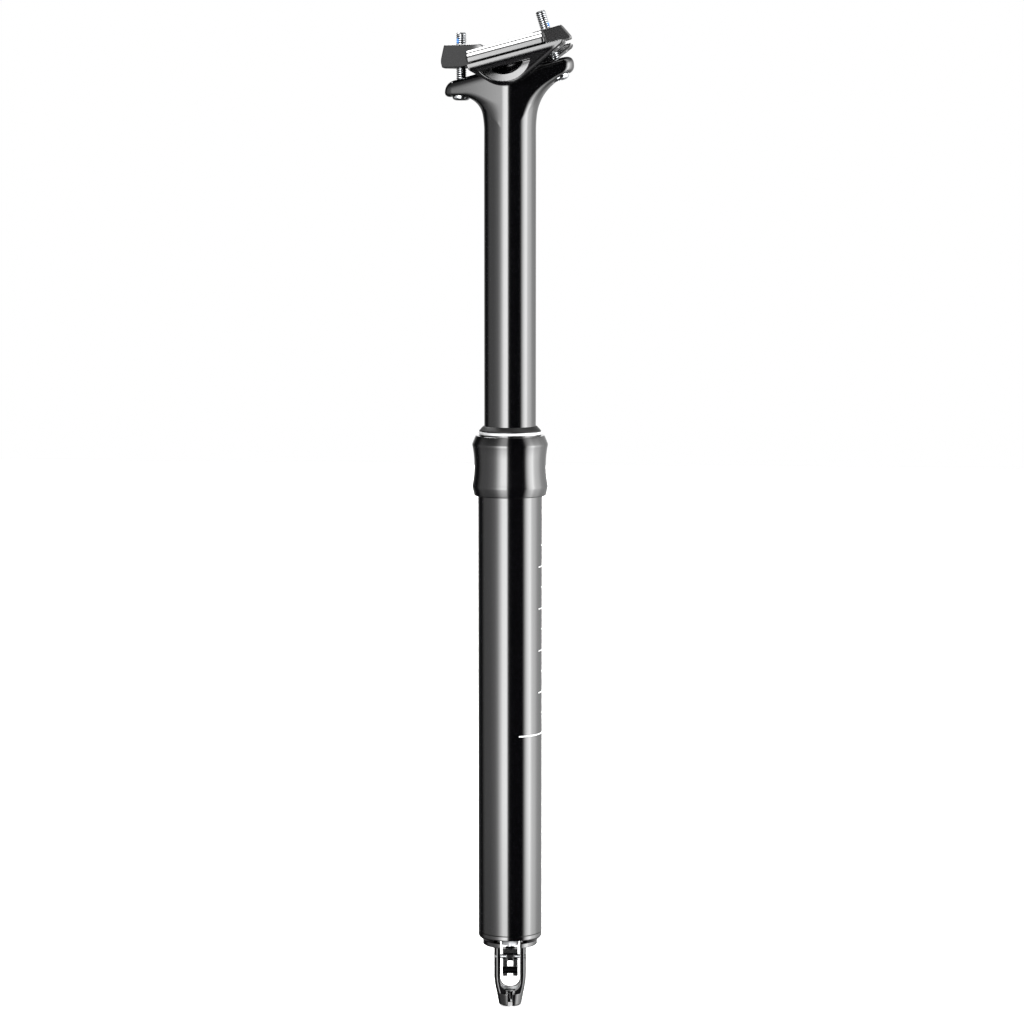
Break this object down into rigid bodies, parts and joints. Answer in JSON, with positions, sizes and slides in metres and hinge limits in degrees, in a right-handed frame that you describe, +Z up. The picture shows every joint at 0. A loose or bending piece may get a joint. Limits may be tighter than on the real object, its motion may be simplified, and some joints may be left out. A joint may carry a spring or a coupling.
{
  "type": "dropper seatpost",
  "caption": "Telescopic bicycle seatpost: a stanchion slides in an outer tube under a collar and wiper, with a bolted saddle clamp on top and a cable actuator at the foot.",
  "frame": {"origin": "on the post's axis at the underside of the collar, where the frame's seat tube ends", "axes": "+X in the riding direction, +Y to the rider's left, +Z up along the post's axis"},
  "size_m": [0.0635, 0.054, 0.4824],
  "materials": {
    "black_anodised_gloss": "polished, then anodised black",
    "black_anodised_satin": "blasted, then anodised black",
    "seal_rubber": "smooth moulded",
    "polished_aluminium": "polished",
    "bushing_polymer": "moulded sliding polymer",
    "key_brass": "machined",
    "bright_steel": "bright zinc",
    "hard_chrome": "ground and plated",
    "machined_aluminium": "turned",
    "bolt_steel": "bright zinc on rolled thread",
    "dark_steel": "black oxide"
  },
  "bodies": {
    "lower": {"outer_tube": "black_anodised_gloss", "collar": "black_anodised_gloss", "wiper_seal": "seal_rubber", "wiper_ring": "polished_aluminium", "upper_bushing": "bushing_polymer", "end_cap": "black_anodised_gloss", "actuator_cage": "black_anodised_gloss", "lever_pin": "bright_steel", "cartridge_rod": "hard_chrome", "rod_nut": "bright_steel", "piston": "key_brass", "piston_ring": "seal_rubber"},
    "post": {"inner_post": "black_anodised_gloss", "lower_bushing": "bushing_polymer", "guide_keys": "key_brass", "cartridge_body": "machined_aluminium", "cartridge_plug": "machined_aluminium", "rod_gland": "key_brass", "rod_seal": "seal_rubber", "cartridge_retainer": "machined_aluminium", "front_bolt": "bolt_steel", "rear_bolt": "bolt_steel", "front_washer": "bolt_steel", "rear_washer": "bolt_steel"},
    "clamp": {"lower_cradle": "black_anodised_satin", "upper_clamp": "black_anodised_satin"},
    "front_barrel": {"front_nut": "bolt_steel"},
    "rear_barrel": {"rear_nut": "bolt_steel"},
    "lever": {"actuator_lever": "black_anodised_satin", "cable_barrel": "dark_steel", "barrel_screw": "dark_steel"},
    "valve": {"valve_pin": "bright_steel"},
    "floating": {"floating_piston": "machined_aluminium", "floating_seal": "seal_rubber"}
  },
  "joints": [
    {"name": "drop_slide", "type": "slide", "parent": "lower", "child": "post", "axis": [0, 0, 1], "range_m": [-0.14, 0], "stiffness_N_per_m": 200, "springref_m": 0.3},
    {"name": "clamp_tilt", "type": "hinge", "parent": "post", "child": "clamp", "pos_m": [0, 0, 0.2133], "axis": [0, 1, 0], "range_deg": [-6, 6]},
    {"name": "front_nut_turn", "type": "hinge", "parent": "clamp", "child": "front_barrel", "pos_m": [0.02332, 0, 0.21202], "axis": [0, 1, 0], "range_deg": [-6.5, 6.5]},
    {"name": "rear_nut_turn", "type": "hinge", "parent": "clamp", "child": "rear_barrel", "pos_m": [-0.01745, 0, 0.22091], "axis": [0, 1, 0], "range_deg": [-6.5, 6.5]},
    {"name": "lever_pull", "type": "hinge", "parent": "lower", "child": "lever", "pos_m": [-0.00027, 0.00259, -0.22628], "axis": [-0.9945, -0.1045, 0], "range_deg": [0, 20]},
    {"name": "valve_lift", "type": "slide", "parent": "lower", "child": "valve", "axis": [0, 0, 1], "range_m": [0, 0.00073], "stiffness_N_per_m": 40, "springref_m": -0.0005},
    {"name": "float_slide", "type": "slide", "parent": "post", "child": "floating", "axis": [0, 0, 1], "range_m": [0, 0.029]}
  ],
  "couplings": [
    {"joint": "front_nut_turn", "follows": "clamp_tilt", "ratio": -1},
    {"joint": "rear_nut_turn", "follows": "clamp_tilt", "ratio": -1},
    {"joint": "lever_pull", "follows": "valve_lift", "rad_per_m": 476.19},
    {"joint": "float_slide", "follows": "drop_slide", "ratio": -0.20413}
  ]
}
